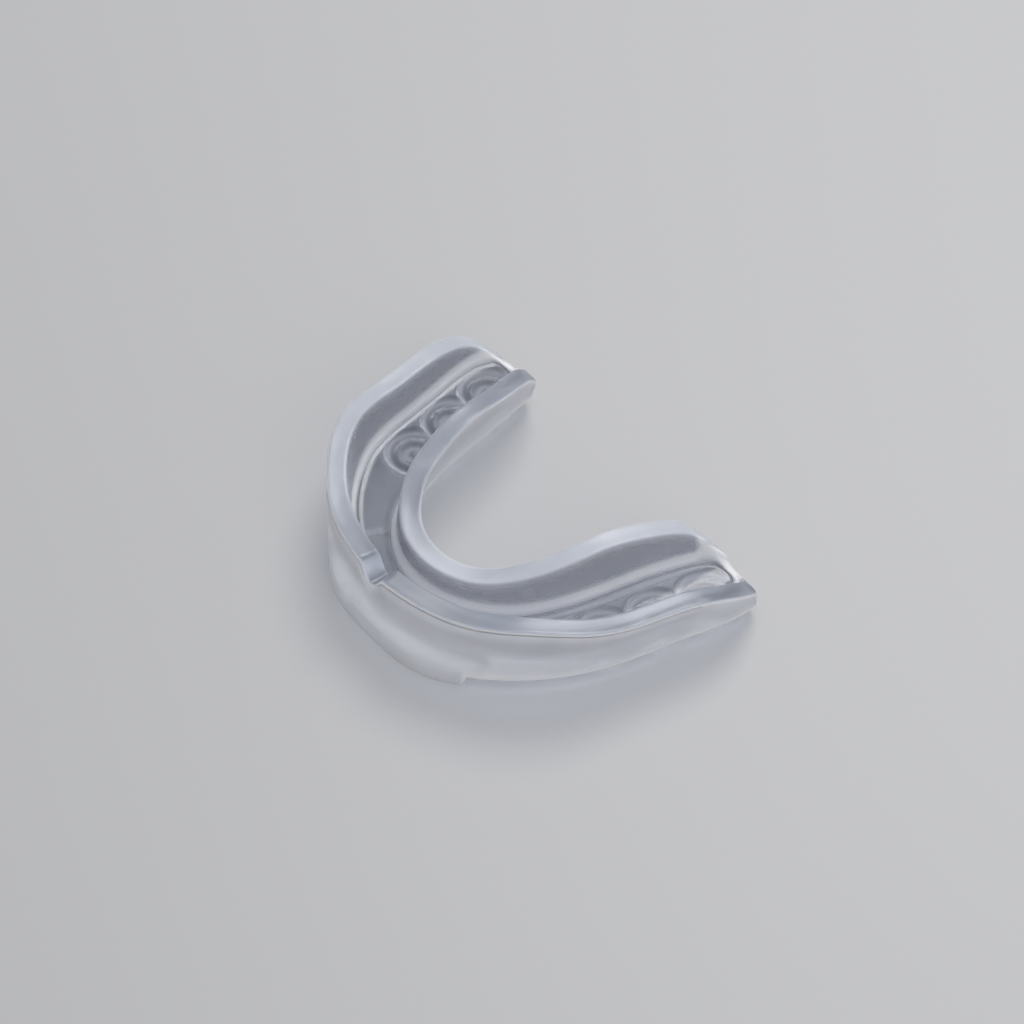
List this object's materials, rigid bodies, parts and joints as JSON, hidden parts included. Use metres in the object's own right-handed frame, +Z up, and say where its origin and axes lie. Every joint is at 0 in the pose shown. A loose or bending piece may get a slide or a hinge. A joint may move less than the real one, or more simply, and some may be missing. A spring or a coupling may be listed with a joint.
{
  "type": "sports mouthguard",
  "caption": "Translucent boil-and-bite mouthguard: U-shaped tooth channel with labial and lingual walls, a frenum notch, and bite pads under its floor.",
  "frame": {"origin": "under the middle of the object's bounding box, on the plane that its bite pads rest on", "axes": "+Z up out of the tooth channel, -Y towards the lips at the front, +Y towards the open rear of the U, X across the two arms"},
  "size_m": [0.0598, 0.0422, 0.0126],
  "materials": {
    "tray_clear": "frosted translucent ethylene-vinyl acetate, with glossier rims",
    "pad_clear": "frosted translucent ethylene-vinyl acetate"
  },
  "bodies": {
    "root": {"channel_tray": "tray_clear", "front_bite_pad": "pad_clear", "ring_pad_left_front": "pad_clear", "ring_pad_left_middle": "pad_clear", "ring_pad_left_rear": "pad_clear", "ring_pad_right_front": "pad_clear", "ring_pad_right_middle": "pad_clear", "ring_pad_right_rear": "pad_clear"}
  },
  "joints": []
}
